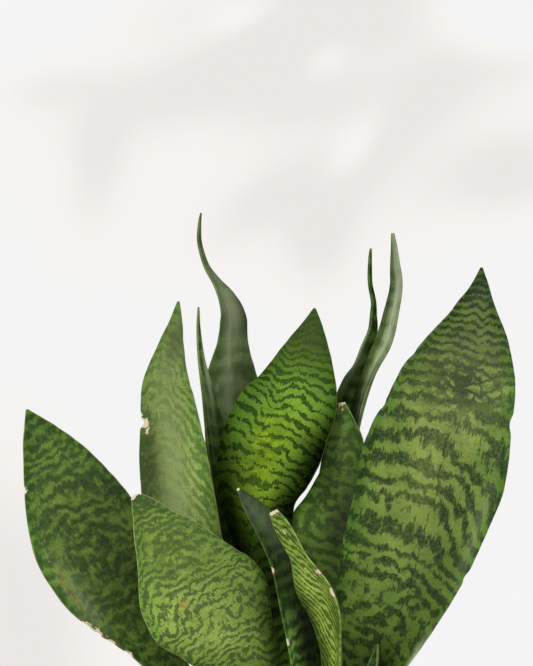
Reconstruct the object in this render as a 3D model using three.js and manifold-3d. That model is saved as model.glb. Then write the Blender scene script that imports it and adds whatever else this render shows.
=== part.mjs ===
// Potted snake plant: a plain tapered pot, its potting soil, the underground stem with a crown
// under each tuft, and thirteen leaves. Millimetres, +Z up. The plant's front faces -Y, and the
// origin is the centre of the pot's flat underside.
import * as THREE from 'three';
import { mergeVertices } from 'three/addons/utils/BufferGeometryUtils.js';
import Module from 'manifold-3d';

const wasm = await Module();
wasm.setup();

// ---- Driving sizes ----

// Clearance between two pieces that touch
const GAP = 0.3;
// Two vertices nearer than this are one
const MERGE_DISTANCE = 1e-3;

const POT_HEIGHT = 150;
const POT_RIM_RADIUS = 85;
const POT_BASE_RADIUS = 60;
const POT_WALL = 5;
const POT_FLOOR = 8;
// Radius of the pot's rounded bottom edge and inside corner
const POT_EDGE = 4;
const POT_SEGMENTS = 56;
const DRAIN_RADIUS = 5;
// Radius of the circle that the drain holes lie on
const DRAIN_RING = 26;
const DRAIN_COUNT = 4;
const DRAIN_SEGMENTS = 16;

// Height of the soil at the middle, how far it drops to the pot's wall, and where the drop starts
const SOIL_TOP = 135;
const SOIL_DROP = 2;
const SOIL_SHOULDER = 0.75;
const SOIL_SEGMENTS = 48;

// Height that every leaf starts from, in the soil
const LEAF_FOOT = 110;
// Thickness along a leaf's middle, at its foot and its tip, and at its margins
const LEAF_THICK_FOOT = 4.4;
const LEAF_THICK_TIP = 2;
const LEAF_MARGIN = 1;
const LEAF_RINGS = 24;
const LEAF_STRIPS = 6;
// How far a leaf's pocket reaches below its foot
const POCKET_DEPTH = 1;

// Depth of the rhizome's middle below the leaves' feet
const RHIZOME_DEPTH = 24;
const RHIZOME_RADIUS = 8;
const RUNNER_RADIUS = 7;
const RUNNER_SAG = 3;
// Heights, under a crown's flat top, of its straight rim and of its shoulder
const CROWN_RIM = 3;
const CROWN_SHOULDER = 8;
const CROWN_WAIST = 0.8;
const CROWN_SEGMENTS = 22;

// ---- Leaves ----

// Each leaf is a list of stations from its foot in the soil to its tip. A station is
// [x, y, z, flat width, heading, fold]. The heading, in degrees, is the way that the hollow
// face looks: 0 is the front, 90 the right, 180 the back and -90 the left. The fold is the
// angle, in degrees, that the blade's cross-section bends through from margin to margin.
const LEAVES = {
  leaf_left_broad: [
    [-40, 8, LEAF_FOOT, 18, 88, 130],
    [-40, 8, 133, 22, 85, 130],
    [-48, 4, 162, 25, 72, 125],
    [-59, 0, 181, 27, 60, 115],
    [-70, -5, 197, 28, 45, 105],
    [-80, -10, 214, 33, 30, 80],
    [-93, -14, 237, 54, 18, 45],
    [-107.6, -19, 261, 66, 12, 32],
    [-120, -24, 287, 67, 10, 26],
    [-133.5, -29, 318, 46, 8, 24],
    [-143, -31, 337, 26, 8, 28],
    [-148, -32, 347, 13, 8, 30],
    [-152, -33, 355, 1.5, 8, 30],
  ],
  leaf_front_left: [
    [-20, -9, LEAF_FOOT, 22, 180, 115],
    [-20, -9, 136, 26, 180, 110],
    [-20, -14, 165, 34, 182, 95],
    [-21, -20, 186, 44, 184, 78],
    [-26, -30, 207, 52, 185, 62],
    [-33, -38, 222, 63, 185, 50],
    [-41.5, -44, 236.5, 76, 185, 44],
    [-52.7, -50, 251.5, 70, 185, 38],
    [-64, -57, 271.5, 50, 185, 34],
    [-74, -62, 287, 31, 185, 30],
    [-79.5, -65, 296.5, 20, 185, 28],
    [-84, -67, 302.5, 12, 185, 28],
    [-87.5, -68, 306, 4, 185, 28],
  ],
  leaf_back_left: [
    [-25, 3, LEAF_FOOT, 18, 145, 120],
    [-25, 3, 134, 22, 145, 115],
    [-31, 4, 170, 28, 145, 95],
    [-43, 5, 206, 41, 145, 70],
    [-55, 5, 245, 53, 145, 48],
    [-64, 4, 282, 57, 145, 38],
    [-68.5, 2, 318, 54, 145, 34],
    [-71, 2, 345, 46, 145, 34],
    [-73, 2, 369, 37, 145, 36],
    [-70, 3, 390, 22, 145, 38],
    [-66, 4, 407, 10, 145, 40],
    [-64, 5, 419, 1.5, 145, 40],
  ],
  leaf_rolled_young: [
    [-23, 14, LEAF_FOOT, 14, 40, 230],
    [-23, 14, 132, 15, 40, 230],
    [-25, 19, 171, 20, 40, 210],
    [-29, 26, 219, 26, 40, 180],
    [-35, 33, 270, 26, 40, 150],
    [-42, 38, 318, 24, 40, 130],
    [-45, 40, 340, 19, 40, 120],
    [-48, 42, 362, 12, 40, 110],
    [-51.5, 43, 383, 6, 40, 100],
    [-53, 44, 402, 3, 40, 90],
    [-53, 44, 416, 1.2, 40, 90],
  ],
  leaf_tall_twisted: [
    [-18, 24, LEAF_FOOT, 22, 0, 150],
    [-18, 24, 131, 24, 0, 145],
    [-17, 32, 175, 32, 0, 110],
    [-18, 41, 223, 40, 0, 70],
    [-23, 49, 278, 42, 0, 50],
    [-28, 56, 327, 42, -5, 45],
    [-32, 60, 368, 35, -10, 45],
    [-32, 62, 393, 21, -8, 50],
    [-32, 64, 410, 17, 10, 55],
    [-36.5, 65, 422, 13, 35, 55],
    [-43, 66, 432, 10, 62, 55],
    [-49, 66, 442, 7, 68, 50],
    [-53, 66, 456, 5, 65, 50],
    [-53, 66, 467, 3, 60, 50],
    [-52, 66, 475, 1.2, 60, 50],
  ],
  leaf_centre: [
    [12, -1, LEAF_FOOT, 20, 160, 140],
    [12, -1, 135, 24, 160, 135],
    [7, 0, 174, 28, 160, 115],
    [-1, 1, 216, 32, 160, 100],
    [-10, 2, 252, 37, 160, 88],
    [-16.8, 3, 282, 45, 160, 72],
    [-18.6, 4, 304, 56.4, 160, 59],
    [-13, 5, 325, 66, 160, 47],
    [-5.5, 6, 343, 66, 160, 42],
    [5, 7, 363, 57, 160, 38],
    [12, 9, 387, 34, 160, 34],
    [16, 10, 403, 16, 160, 34],
    [18, 10, 415, 1.5, 160, 30],
  ],
  leaf_mid_right: [
    [19, 16, LEAF_FOOT, 19, -30, 145],
    [19, 16, 132, 22, -30, 140],
    [20, 18, 177, 28, -30, 110],
    [20, 19, 220, 38, -28, 70],
    [23, 17, 262, 46, -25, 50],
    [24.6, 15.5, 279, 48, -24, 46],
    [30, 14, 295, 37.8, -22, 42],
    [35.9, 12, 314, 30, -20, 40],
    [37, 10, 334, 24, -18, 36],
    [36, 8, 347, 14, -15, 34],
    [34, 7, 358, 5, -15, 34],
  ],
  leaf_back_slender: [
    [11, 36, LEAF_FOOT, 16, 95, 150],
    [11, 36, 129, 19, 95, 140],
    [11, 37, 175, 23, 92, 110],
    [14, 38, 224, 26, 86, 85],
    [18, 39, 273, 27, 76, 70],
    [25, 40, 316, 27, 66, 60],
    [33, 40, 350, 27, 57, 60],
    [39, 40, 367, 24, 55, 60],
    [45, 40, 378, 20, 58, 62],
    [49, 40, 390, 17, 62, 65],
    [53, 40, 401, 14, 66, 65],
    [54, 40, 411, 10, 70, 60],
    [54.4, 40, 419, 7.5, 72, 55],
    [52.5, 40, 430, 6, 72, 50],
    [52.3, 40, 440, 5, 70, 50],
    [53, 40, 452, 1.5, 70, 50],
  ],
  leaf_back_narrow: [
    [27, 38, LEAF_FOOT, 15, -95, 150],
    [27, 38, 129, 18, -95, 145],
    [27, 38, 175, 23, -92, 115],
    [29, 36, 224, 25, -86, 85],
    [33, 33, 270, 26, -80, 66],
    [39, 30, 316, 26, -76, 58],
    [45.2, 28, 350, 24.5, -77, 55],
    [52.8, 27, 375, 22, -75, 52],
    [62, 26, 395, 23, -68, 48],
    [66.5, 26, 414, 21, -68, 44],
    [69, 27, 429, 18, -69, 42],
    [68, 28, 442, 14, -70, 40],
    [67, 29, 454, 8, -72, 38],
    [66, 29, 461, 3, -72, 36],
  ],
  leaf_right_broad: [
    [40, 4, LEAF_FOOT, 23, -88, 130],
    [40, 4, 134, 27, -84, 130],
    [46, -3, 166, 38, -68, 118],
    [54, -10, 195, 56, -52, 98],
    [59.5, -15, 220, 67, -40, 76],
    [65.5, -19, 244, 76, -32, 55],
    [73.5, -21, 269, 84, -28, 42],
    [83, -22, 296, 90, -27, 38],
    [88.7, -22, 315, 95, -26, 36],
    [93.5, -22, 333, 92, -26, 36],
    [99, -21, 352, 83, -26, 34],
    [105, -19, 373, 73, -25, 32],
    [109, -17, 388, 60, -25, 30],
    [112, -15, 401, 45, -24, 30],
    [114, -14, 414, 28, -24, 30],
    [116, -13, 427, 13, -24, 30],
    [117, -12, 439, 1.5, -24, 30],
  ],
  leaf_front_dark: [
    [12, -23, LEAF_FOOT, 18, 60, 150],
    [12, -23, 139, 22, 60, 140],
    [10, -25, 174, 26, 58, 110],
    [7, -29, 210, 28, 55, 80],
    [3, -32, 240, 30, 50, 65],
    [-1.5, -35, 264, 25, 42, 60],
    [-9.5, -37, 283, 20, 36, 60],
    [-20, -38, 298, 13, 36, 60],
    [-28, -39, 309, 1.5, 36, 60],
  ],
  leaf_front_bright: [
    [27, -26, LEAF_FOOT, 16, -60, 150],
    [27, -26, 139, 20, -60, 140],
    [30, -32, 175, 21, -60, 120],
    [30, -38, 206, 22, -58, 100],
    [28, -43, 223, 25, -52, 85],
    [25, -47, 237, 31, -50, 65],
    [20, -50, 249, 32, -48, 60],
    [14, -52, 260, 24, -46, 60],
    [8, -54, 271, 14, -44, 60],
    [1, -55, 284, 13, -40, 60],
    [-3, -56, 291, 11, -38, 60],
    [-7, -57, 297, 6, -38, 60],
  ],
  shoot_tip: [
    [43, -29, LEAF_FOOT, 12, -30, 180],
    [43, -29, 140, 14, -30, 180],
    [46, -32, 172, 15, -30, 160],
    [49, -35, 190, 13, -30, 150],
    [52, -38, 207, 7, -30, 120],
    [54, -39, 218, 1.2, -30, 120],
  ],
};

const LEAF_COLOURS = {
  leaf_left_broad: 0x2f5a24,
  leaf_front_left: 0x55802e,
  leaf_back_left: 0x5d7f42,
  leaf_rolled_young: 0x33552c,
  leaf_tall_twisted: 0x4a6545,
  leaf_centre: 0x5e8f1e,
  leaf_mid_right: 0x33602b,
  leaf_back_slender: 0x2c4a24,
  leaf_back_narrow: 0x4f6b3e,
  leaf_right_broad: 0x5a7a3a,
  leaf_front_dark: 0x2b4a2a,
  leaf_front_bright: 0x7a9440,
  shoot_tip: 0x3f7a34,
};

// A smooth curve through three of a station's values, from the first station to the last
function throughStations(stations, first) {
  const points = stations.map((station) => new THREE.Vector3(...station.slice(first, first + 3)));
  return new THREE.CatmullRomCurve3(points, false, 'catmullrom', 0.5);
}

// One cross-section of a leaf: along its rounded back from the right margin to the left, then
// back along its hollow face. grow makes it thicker and wider all round.
function leafRing(centre, tangent, width, heading, fold, thickness, grow) {
  const bend = THREE.MathUtils.degToRad(fold);
  const turn = THREE.MathUtils.degToRad(heading);
  const hollow = new THREE.Vector3(Math.sin(turn), -Math.cos(turn), 0);
  hollow.addScaledVector(tangent, -hollow.dot(tangent)).normalize();
  const across = new THREE.Vector3().crossVectors(tangent, hollow);
  const radius = width / bend;
  const reach = 1 + (2 * grow) / width;
  const margin = Math.min(LEAF_MARGIN, thickness);
  const ring = [];
  for (const side of [-1, 1]) {
    for (let strip = 0; strip <= LEAF_STRIPS; strip += 1) {
      const u = side * ((2 * strip) / LEAF_STRIPS - 1);
      const angle = (u * reach * bend) / 2;
      const depth = margin + (thickness - margin) * (1 - u * u) + 2 * grow;
      const point = centre.clone();
      point.addScaledVector(across, Math.sin(angle) * (radius - (side * depth) / 2));
      point.addScaledVector(hollow, radius - Math.cos(angle) * (radius - (side * depth) / 2));
      ring.push(point);
    }
  }
  return ring;
}

// A closed skin over a leaf's rings. Each end is closed by strips from its back to its face.
function skin(rings) {
  const perRing = rings[0].length;
  const corners = [];
  for (let ring = 0; ring < rings.length - 1; ring += 1) {
    for (let i = 0; i < perRing; i += 1) {
      const here = ring * perRing + i;
      const next = ring * perRing + ((i + 1) % perRing);
      corners.push(here, next, next + perRing, here, next + perRing, here + perRing);
    }
  }
  const last = (rings.length - 1) * perRing;
  for (let i = 0; i < perRing / 2 - 1; i += 1) {
    const far = perRing - 1 - i;
    corners.push(i, far, far - 1, i, far - 1, i + 1);
    corners.push(last + i, last + far - 1, last + far, last + i, last + i + 1, last + far - 1);
  }
  const geometry = new THREE.BufferGeometry().setFromPoints(rings.flat());
  geometry.setIndex(corners);
  geometry.computeVertexNormals();
  return geometry;
}

// A leaf as a solid blade. A grown leaf reaches below its foot, so that the pocket it cuts in
// the soil runs into the hollow round the crown.
function leafGeometry(stations, grow = 0) {
  const spine = throughStations(stations, 0);
  const form = throughStations(stations, 3);
  const rings = [];
  for (let i = 0; i <= LEAF_RINGS; i += 1) {
    const t = i / LEAF_RINGS;
    const centre = spine.getPoint(t);
    const { x: formWidth, y: heading, z: fold } = form.getPoint(t);
    const width = Math.max(formWidth, LEAF_MARGIN);
    const full = THREE.MathUtils.lerp(LEAF_THICK_FOOT, LEAF_THICK_TIP, t);
    const thickness = Math.min(full, width / 2 + LEAF_MARGIN / 2);
    if (grow > 0 && i === 0) centre.z -= POCKET_DEPTH;
    rings.push(leafRing(centre, spine.getTangent(t), width, heading, fold, thickness, grow));
  }
  return skin(rings);
}

// ---- Solids that are joined or cut ----

// A geometry's places and faces as a solid, without the slivers that meet on a turned axis
function toSolid(geometry) {
  const bare = new THREE.BufferGeometry();
  bare.setAttribute('position', geometry.attributes.position);
  bare.setIndex(geometry.index);
  const merged = mergeVertices(bare, MERGE_DISTANCE);
  const corners = merged.index.array;
  const triVerts = [];
  for (let i = 0; i < corners.length; i += 3) {
    const [a, b, c] = corners.slice(i, i + 3);
    if (a !== b && b !== c && c !== a) triVerts.push(a, b, c);
  }
  const mesh = new wasm.Mesh({
    numProp: 3,
    vertProperties: new Float32Array(merged.attributes.position.array),
    triVerts: new Uint32Array(triVerts),
  });
  return new wasm.Manifold(mesh);
}

function toGeometry(solid) {
  const mesh = solid.getMesh();
  const geometry = new THREE.BufferGeometry();
  geometry.setAttribute('position', new THREE.BufferAttribute(mesh.vertProperties, 3));
  geometry.setIndex(new THREE.BufferAttribute(mesh.triVerts, 1));
  geometry.computeVertexNormals();
  return geometry;
}

// A turned solid from a profile of [radius, height] pairs that starts and ends on the axis
function turned(profile, segments) {
  const points = profile.map(([radius, height]) => new THREE.Vector2(radius, height));
  return new THREE.LatheGeometry(points, segments).rotateX(Math.PI / 2);
}

// ---- Pot ----

// Radius of the pot's outer face at a height
function potRadius(height) {
  return THREE.MathUtils.lerp(POT_BASE_RADIUS, POT_RIM_RADIUS, height / POT_HEIGHT);
}

// Points on a quarter or half circle of a [radius, height] profile
function arc(centreRadius, centreHeight, radius, fromDegrees, toDegrees, steps) {
  const points = [];
  for (let i = 0; i <= steps; i += 1) {
    const angle = THREE.MathUtils.degToRad(THREE.MathUtils.lerp(fromDegrees, toDegrees, i / steps));
    points.push([centreRadius + radius * Math.cos(angle), centreHeight + radius * Math.sin(angle)]);
  }
  return points;
}

function potGeometry() {
  const lip = POT_WALL / 2;
  const lipHeight = POT_HEIGHT - lip;
  const floorRadius = potRadius(POT_FLOOR) - POT_WALL;
  const profile = [
    [0, 0],
    ...arc(POT_BASE_RADIUS - POT_EDGE, POT_EDGE, POT_EDGE, -90, 0, 4),
    ...arc(potRadius(lipHeight) - lip, lipHeight, lip, 0, 180, 6),
    ...arc(floorRadius - POT_EDGE, POT_FLOOR + POT_EDGE, POT_EDGE, 0, -90, 3),
    [0, POT_FLOOR],
  ];
  let pot = toSolid(turned(profile, POT_SEGMENTS));
  for (let i = 0; i < DRAIN_COUNT; i += 1) {
    const angle = ((i + 0.5) * 2 * Math.PI) / DRAIN_COUNT;
    const length = 3 * POT_FLOOR;
    const drill = new THREE.CylinderGeometry(DRAIN_RADIUS, DRAIN_RADIUS, length, DRAIN_SEGMENTS);
    drill.rotateX(Math.PI / 2);
    drill.translate(DRAIN_RING * Math.cos(angle), DRAIN_RING * Math.sin(angle), POT_FLOOR / 2);
    pot = pot.subtract(toSolid(drill));
  }
  return toGeometry(pot);
}

// ---- Rhizome ----

// A crown is the thick end that one tuft of leaves stands on: [x, y, radius]
const CROWNS = {
  left: [-24, 7.5, 20],
  right: [25, 6, 19],
  back: [19, 37, 13],
  pup: [19, -25, 12],
  shoot: [42, -30, 8],
};

// The runners that join the crowns, in the soil
const RUNNERS = [
  ['left', 'right'],
  ['right', 'back'],
  ['right', 'pup'],
  ['pup', 'shoot'],
];

function crownGeometry([x, y, radius], grow) {
  const top = LEAF_FOOT - GAP + grow;
  const axis = LEAF_FOOT - RHIZOME_DEPTH;
  const neck = RHIZOME_RADIUS + grow;
  const profile = [
    [0, axis - neck],
    [Math.SQRT1_2 * neck, axis - Math.SQRT1_2 * neck],
    [neck, axis],
    [CROWN_WAIST * radius + grow, top - CROWN_SHOULDER],
    [radius + grow, top - CROWN_RIM],
    [radius + grow, top],
    [0, top],
  ];
  return turned(profile, CROWN_SEGMENTS).translate(x, y, 0);
}

function runnerGeometry([startX, startY], [endX, endY], grow) {
  const depth = LEAF_FOOT - RHIZOME_DEPTH;
  const path = new THREE.CatmullRomCurve3([
    new THREE.Vector3(startX, startY, depth),
    new THREE.Vector3((startX + endX) / 2, (startY + endY) / 2, depth - RUNNER_SAG),
    new THREE.Vector3(endX, endY, depth),
  ]);
  const section = new THREE.Shape().absarc(0, 0, RUNNER_RADIUS + grow, 0, 2 * Math.PI);
  const settings = { steps: 6, curveSegments: 7, extrudePath: path, bevelEnabled: false };
  return new THREE.ExtrudeGeometry(section, settings);
}

function rhizomeSolid(grow = 0) {
  let solid = null;
  for (const crown of Object.values(CROWNS)) {
    const next = toSolid(crownGeometry(crown, grow));
    solid = solid ? solid.add(next) : next;
  }
  for (const [start, end] of RUNNERS) {
    solid = solid.add(toSolid(runnerGeometry(CROWNS[start], CROWNS[end], grow)));
  }
  return solid;
}

// ---- Soil ----

// The soil fills the pot, and each leaf and the rhizome sit in it with a thin gap all round
function soilGeometry() {
  const wallGap = POT_WALL + GAP;
  const bottom = POT_FLOOR + GAP;
  const edge = SOIL_TOP - SOIL_DROP;
  const profile = [
    [0, bottom],
    ...arc(potRadius(bottom) - wallGap - POT_EDGE, bottom + POT_EDGE, POT_EDGE, -90, 0, 3),
    [potRadius(edge) - wallGap, edge],
    [SOIL_SHOULDER * potRadius(edge), SOIL_TOP - SOIL_DROP / 4],
    [0, SOIL_TOP],
  ];
  let soil = toSolid(turned(profile, SOIL_SEGMENTS)).subtract(rhizomeSolid(GAP));
  for (const stations of Object.values(LEAVES)) {
    soil = soil.subtract(toSolid(leafGeometry(stations, GAP)));
  }
  return toGeometry(soil);
}

// ---- The plant ----

function piece(name, geometry, color, roughness) {
  const material = new THREE.MeshStandardMaterial({ color, roughness, metalness: 0 });
  const mesh = new THREE.Mesh(geometry, material);
  mesh.name = name;
  return mesh;
}

const plant = new THREE.Group();
plant.add(piece('pot', potGeometry(), 0xe9e4dc, 0.6));
plant.add(piece('soil', soilGeometry(), 0x3a2a1e, 0.95));
plant.add(piece('rhizome', toGeometry(rhizomeSolid()), 0xc9873f, 0.7));
for (const [name, stations] of Object.entries(LEAVES)) {
  plant.add(piece(name, leafGeometry(stations), LEAF_COLOURS[name], 0.45));
}

export default plant;
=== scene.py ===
"""Looks of a potted snake plant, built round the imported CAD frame.

Everything is in metres, +Z up, with the plant's front facing -Y. The tables are in millimetres,
and MM turns them into metres.
"""
import math
import random
from types import SimpleNamespace

import bmesh
import bpy
import numpy as np
from mathutils import Matrix, Vector


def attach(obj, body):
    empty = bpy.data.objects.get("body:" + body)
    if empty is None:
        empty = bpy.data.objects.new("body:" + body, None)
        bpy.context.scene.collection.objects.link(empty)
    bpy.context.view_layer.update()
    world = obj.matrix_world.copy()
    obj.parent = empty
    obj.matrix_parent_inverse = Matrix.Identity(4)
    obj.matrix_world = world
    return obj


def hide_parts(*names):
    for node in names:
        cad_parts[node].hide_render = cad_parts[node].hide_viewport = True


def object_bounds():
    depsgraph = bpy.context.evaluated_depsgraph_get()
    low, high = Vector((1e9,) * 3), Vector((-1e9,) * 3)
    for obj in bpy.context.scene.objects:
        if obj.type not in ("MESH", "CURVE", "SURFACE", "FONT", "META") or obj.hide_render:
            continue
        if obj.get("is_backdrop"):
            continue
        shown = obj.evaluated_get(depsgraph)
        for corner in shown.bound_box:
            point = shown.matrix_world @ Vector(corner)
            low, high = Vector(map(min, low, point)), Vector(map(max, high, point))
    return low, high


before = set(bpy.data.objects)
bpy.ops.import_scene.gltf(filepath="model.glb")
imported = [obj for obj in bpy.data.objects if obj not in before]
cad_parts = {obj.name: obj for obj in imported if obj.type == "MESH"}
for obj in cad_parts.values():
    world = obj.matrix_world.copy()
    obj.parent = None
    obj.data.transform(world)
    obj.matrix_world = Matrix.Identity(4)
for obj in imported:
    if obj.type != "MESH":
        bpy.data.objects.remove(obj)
cad_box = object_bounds()

MM = 0.001

# ---- Camera ----

# The photograph is 533 x 666, and its middle lies this far above the floor and left of the pot's
# axis. VIEW_HEIGHT is what the frame takes in at the pot's axis.
CAMERA_DISTANCE = 1600 * MM
CAMERA_X = -11.1 * MM
CAMERA_Z = 400 * MM
VIEW_HEIGHT = 399.6 * MM
SENSOR_HEIGHT = 24.0

camera_data = bpy.data.cameras.new("camera")
camera_data.sensor_fit = "VERTICAL"
camera_data.sensor_height = SENSOR_HEIGHT
camera_data.lens = SENSOR_HEIGHT * CAMERA_DISTANCE / VIEW_HEIGHT
camera_data.clip_end = 50.0
camera = bpy.data.objects.new("camera", camera_data)
camera.location = (CAMERA_X, -CAMERA_DISTANCE, CAMERA_Z)
camera.rotation_euler = (math.pi / 2, 0.0, 0.0)
bpy.context.scene.collection.objects.link(camera)
bpy.context.scene.camera = camera

# ---- Leaves ----

# A leaf is a list of stations from its foot in the soil to its tip. A station is
# [x, y, z, flat width, heading, fold]: the heading, in degrees, is the way that the hollow face
# looks (0 front, 90 right, 180 back, -90 left), and the fold is the angle, in degrees, that the
# blade's cross-section bends through from margin to margin.
FOOT = 110
LEAVES = {
    "leaf_left_broad": [
        [-40, 8, FOOT, 18, 88, 130], [-40, 8, 133, 22, 85, 130], [-48, 4, 162, 25, 72, 125],
        [-59, 0, 181, 27, 60, 115], [-70, -5, 197, 28, 45, 105], [-80, -10, 214, 33, 30, 80],
        [-93, -14, 237, 54, 18, 45], [-107.6, -19, 261, 66, 12, 32], [-120, -24, 287, 67, 10, 26],
        [-133.5, -29, 318, 46, 8, 24], [-143, -31, 337, 26, 8, 28], [-148, -32, 347, 13, 8, 30],
        [-152, -33, 355, 1.5, 8, 30],
    ],
    "leaf_front_left": [
        [-20, -9, FOOT, 22, 180, 115], [-20, -9, 136, 26, 180, 110], [-20, -14, 165, 34, 182, 95],
        [-21, -20, 186, 44, 184, 78], [-26, -30, 207, 52, 185, 62], [-33, -38, 222, 63, 185, 50],
        [-41.5, -44, 236.5, 76, 185, 44], [-52.7, -50, 251.5, 70, 185, 38],
        [-64, -57, 271.5, 50, 185, 34], [-74, -62, 287, 31, 185, 30],
        [-79.5, -65, 296.5, 20, 185, 28], [-84, -67, 302.5, 12, 185, 28],
        [-87.5, -68, 306, 4, 185, 28],
    ],
    "leaf_back_left": [
        [-25, 3, FOOT, 18, 145, 120], [-25, 3, 134, 22, 145, 115], [-31, 4, 170, 28, 145, 95],
        [-43, 5, 206, 41, 145, 70], [-55, 5, 245, 53, 145, 48], [-64, 4, 282, 57, 145, 38],
        [-68.5, 2, 318, 54, 145, 34], [-71, 2, 345, 46, 145, 34], [-73, 2, 369, 37, 145, 36],
        [-70, 3, 390, 22, 145, 38], [-66, 4, 407, 10, 145, 40], [-64, 5, 419, 1.5, 145, 40],
    ],
    "leaf_rolled_young": [
        [-23, 14, FOOT, 14, 40, 230], [-23, 14, 132, 15, 40, 230], [-25, 19, 171, 20, 40, 210],
        [-29, 26, 219, 26, 40, 180], [-35, 33, 270, 26, 40, 150], [-42, 38, 318, 24, 40, 130],
        [-45, 40, 340, 19, 40, 120], [-48, 42, 362, 12, 40, 110], [-51.5, 43, 383, 6, 40, 100],
        [-53, 44, 402, 3, 40, 90], [-53, 44, 416, 1.2, 40, 90],
    ],
    "leaf_tall_twisted": [
        [-18, 24, FOOT, 22, 0, 150], [-18, 24, 131, 24, 0, 145], [-17, 32, 175, 32, 0, 110],
        [-18, 41, 223, 40, 0, 70], [-23, 49, 278, 42, 0, 50], [-28, 56, 327, 42, -5, 45],
        [-32, 60, 368, 35, -10, 45], [-32, 62, 393, 21, -8, 50], [-32, 64, 410, 17, 10, 55],
        [-36.5, 65, 422, 13, 35, 55], [-43, 66, 432, 10, 62, 55], [-49, 66, 442, 7, 68, 50],
        [-53, 66, 456, 5, 65, 50], [-53, 66, 467, 3, 60, 50], [-52, 66, 475, 1.2, 60, 50],
    ],
    "leaf_centre": [
        [12, -1, FOOT, 20, 160, 140], [12, -1, 135, 24, 160, 135], [7, 0, 174, 28, 160, 115],
        [-1, 1, 216, 32, 160, 100], [-10, 2, 252, 37, 160, 88], [-16.8, 3, 282, 45, 160, 72],
        [-18.6, 4, 304, 56.4, 160, 59], [-13, 5, 325, 66, 160, 47], [-5.5, 6, 343, 66, 160, 42],
        [5, 7, 363, 57, 160, 38], [12, 9, 387, 34, 160, 34], [16, 10, 403, 16, 160, 34],
        [18, 10, 415, 1.5, 160, 30],
    ],
    "leaf_mid_right": [
        [19, 16, FOOT, 19, -30, 145], [19, 16, 132, 22, -30, 140], [20, 18, 177, 28, -30, 110],
        [20, 19, 220, 38, -28, 70], [23, 17, 262, 46, -25, 50], [24.6, 15.5, 279, 48, -24, 46],
        [30, 14, 295, 37.8, -22, 42], [35.9, 12, 314, 30, -20, 40], [37, 10, 334, 24, -18, 36],
        [36, 8, 347, 14, -15, 34], [34, 7, 358, 5, -15, 34],
    ],
    "leaf_back_slender": [
        [11, 36, FOOT, 16, 95, 150], [11, 36, 129, 19, 95, 140], [11, 37, 175, 23, 92, 110],
        [14, 38, 224, 26, 86, 85], [18, 39, 273, 27, 76, 70], [25, 40, 316, 27, 66, 60],
        [33, 40, 350, 27, 57, 60], [39, 40, 367, 24, 55, 60], [45, 40, 378, 20, 58, 62],
        [49, 40, 390, 17, 62, 65], [53, 40, 401, 14, 66, 65], [54, 40, 411, 10, 70, 60],
        [54.4, 40, 419, 7.5, 72, 55], [52.5, 40, 430, 6, 72, 50], [52.3, 40, 440, 5, 70, 50],
        [53, 40, 452, 1.5, 70, 50],
    ],
    "leaf_back_narrow": [
        [27, 38, FOOT, 15, -95, 150], [27, 38, 129, 18, -95, 145], [27, 38, 175, 23, -92, 115],
        [29, 36, 224, 25, -86, 85], [33, 33, 270, 26, -80, 66], [39, 30, 316, 26, -76, 58],
        [45.2, 28, 350, 24.5, -77, 55], [52.8, 27, 375, 22, -75, 52], [62, 26, 395, 23, -68, 48],
        [66.5, 26, 414, 21, -68, 44], [69, 27, 429, 18, -69, 42], [68, 28, 442, 14, -70, 40],
        [67, 29, 454, 8, -72, 38], [66, 29, 461, 3, -72, 36],
    ],
    "leaf_right_broad": [
        [40, 4, FOOT, 23, -88, 130], [40, 4, 134, 27, -84, 130], [46, -3, 166, 38, -68, 118],
        [54, -10, 195, 56, -52, 98], [59.5, -15, 220, 67, -40, 76], [65.5, -19, 244, 76, -32, 55],
        [73.5, -21, 269, 84, -28, 42], [83, -22, 296, 90, -27, 38], [88.7, -22, 315, 95, -26, 36],
        [93.5, -22, 333, 92, -26, 36], [99, -21, 352, 83, -26, 34], [105, -19, 373, 73, -25, 32],
        [109, -17, 388, 60, -25, 30], [112, -15, 401, 45, -24, 30], [114, -14, 414, 28, -24, 30],
        [116, -13, 427, 13, -24, 30], [117, -12, 439, 1.5, -24, 30],
    ],
    "leaf_front_dark": [
        [12, -23, FOOT, 18, 60, 150], [12, -23, 139, 22, 60, 140], [10, -25, 174, 26, 58, 110],
        [7, -29, 210, 28, 55, 80], [3, -32, 240, 30, 50, 65], [-1.5, -35, 264, 25, 42, 60],
        [-9.5, -37, 283, 20, 36, 60], [-20, -38, 298, 13, 36, 60], [-28, -39, 309, 1.5, 36, 60],
    ],
    "leaf_front_bright": [
        [27, -26, FOOT, 16, -60, 150], [27, -26, 139, 20, -60, 140], [30, -32, 175, 21, -60, 120],
        [30, -38, 206, 22, -58, 100], [28, -43, 223, 25, -52, 85], [25, -47, 237, 31, -50, 65],
        [20, -50, 249, 32, -48, 60], [14, -52, 260, 24, -46, 60], [8, -54, 271, 14, -44, 60],
        [1, -55, 284, 13, -40, 60], [-3, -56, 291, 11, -38, 60], [-7, -57, 297, 6, -38, 60],
    ],
    "shoot_tip": [
        [43, -29, FOOT, 12, -30, 180], [43, -29, 140, 14, -30, 180], [46, -32, 172, 15, -30, 160],
        [49, -35, 190, 13, -30, 150], [52, -38, 207, 7, -30, 120], [54, -39, 218, 1.2, -30, 120],
    ],
}

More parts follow.
